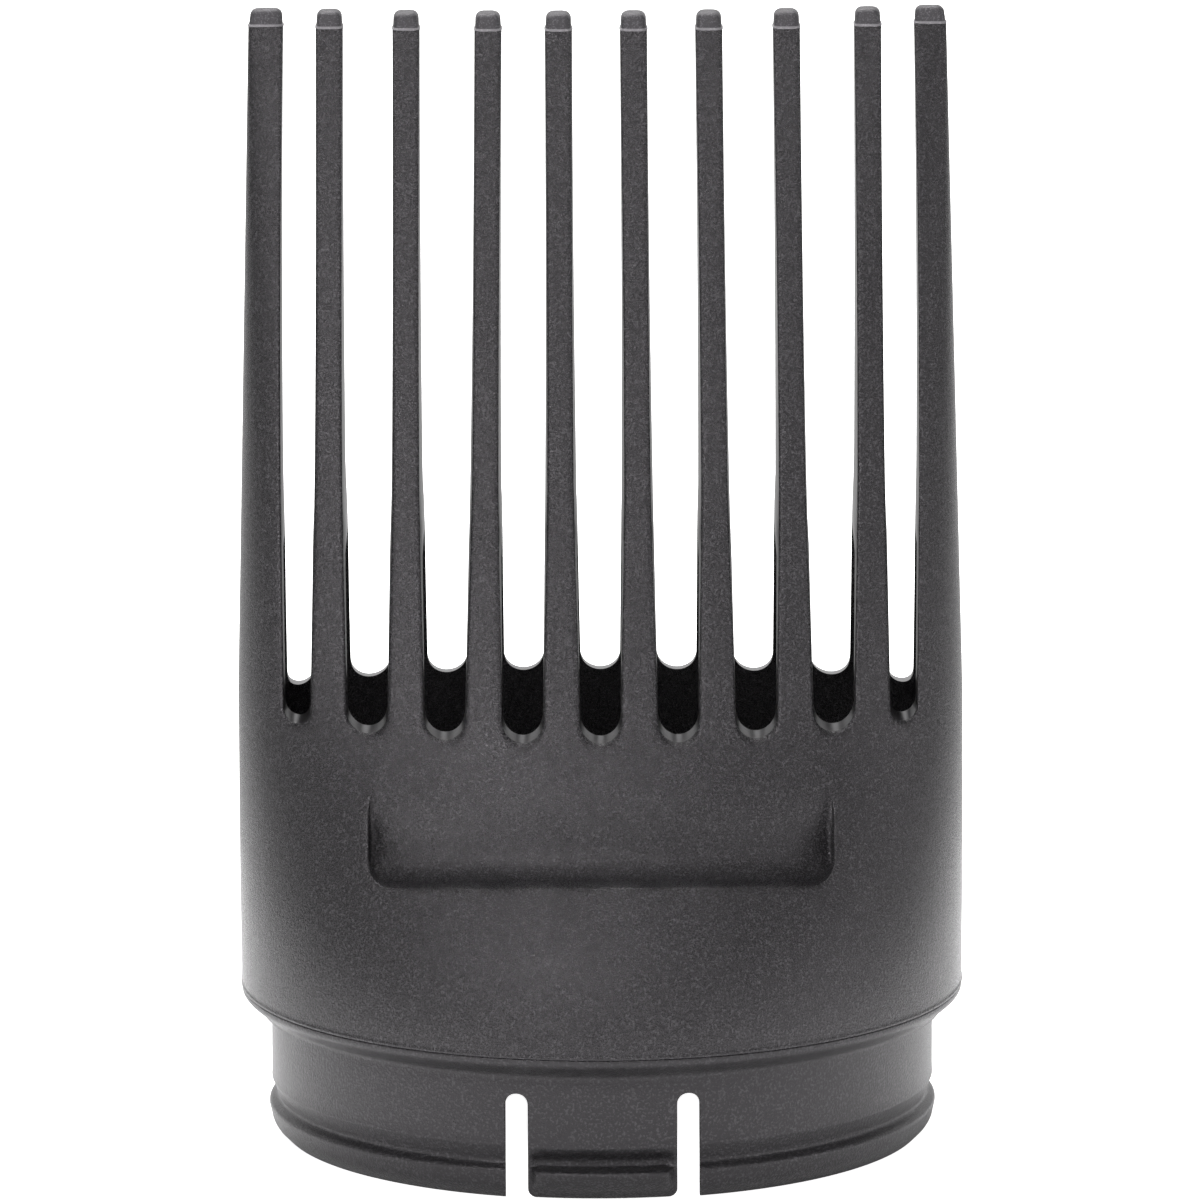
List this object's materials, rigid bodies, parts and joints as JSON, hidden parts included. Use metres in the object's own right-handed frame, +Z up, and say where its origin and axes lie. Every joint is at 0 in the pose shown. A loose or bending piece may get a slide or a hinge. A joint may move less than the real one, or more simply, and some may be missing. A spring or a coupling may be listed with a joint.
{
  "type": "hair dryer comb attachment",
  "caption": "Slip-on comb attachment for a hair dryer: a row of long straight teeth on a hollow wedge body, with a round snap-in spigot below.",
  "frame": {"origin": "centre of the spigot's bottom rim, at the lowest plane", "axes": "+Z up towards the tooth tips, X along the row of teeth, -Y towards the front with the grip recess"},
  "size_m": [0.063, 0.063, 0.0989],
  "materials": {
    "shell_plastic": "fine spark-eroded texture, charcoal",
    "tooth_plastic": "fine spark-eroded texture, charcoal",
    "tip_plastic": "rougher texture, charcoal",
    "collar_plastic": "fine spark-eroded texture, charcoal"
  },
  "bodies": {
    "root": {"comb_shell": "shell_plastic", "tooth_01": "tooth_plastic", "tooth_02": "tooth_plastic", "tooth_03": "tooth_plastic", "tooth_04": "tooth_plastic", "tooth_05": "tooth_plastic", "tooth_06": "tooth_plastic", "tooth_07": "tooth_plastic", "tooth_08": "tooth_plastic", "tooth_09": "tooth_plastic", "tooth_10": "tooth_plastic", "tip_01": "tip_plastic", "tip_02": "tip_plastic", "tip_03": "tip_plastic", "tip_04": "tip_plastic", "tip_05": "tip_plastic", "tip_06": "tip_plastic", "tip_07": "tip_plastic", "tip_08": "tip_plastic", "tip_09": "tip_plastic", "tip_10": "tip_plastic", "collar_ring": "collar_plastic"},
    "tab_front": {"tab_front": "collar_plastic"},
    "tab_back": {"tab_back": "collar_plastic"}
  },
  "joints": [
    {"name": "tab_front_flex", "type": "hinge", "parent": "root", "child": "tab_front", "pos_m": [0, -0.02785, 0.0091], "axis": [1, 0, 0], "range_deg": [0, 7], "stiffness_Nm_per_rad": 0.8},
    {"name": "tab_back_flex", "type": "hinge", "parent": "root", "child": "tab_back", "pos_m": [0, 0.02785, 0.0091], "axis": [-1, 0, 0], "range_deg": [0, 7], "stiffness_Nm_per_rad": 0.8}
  ]
}
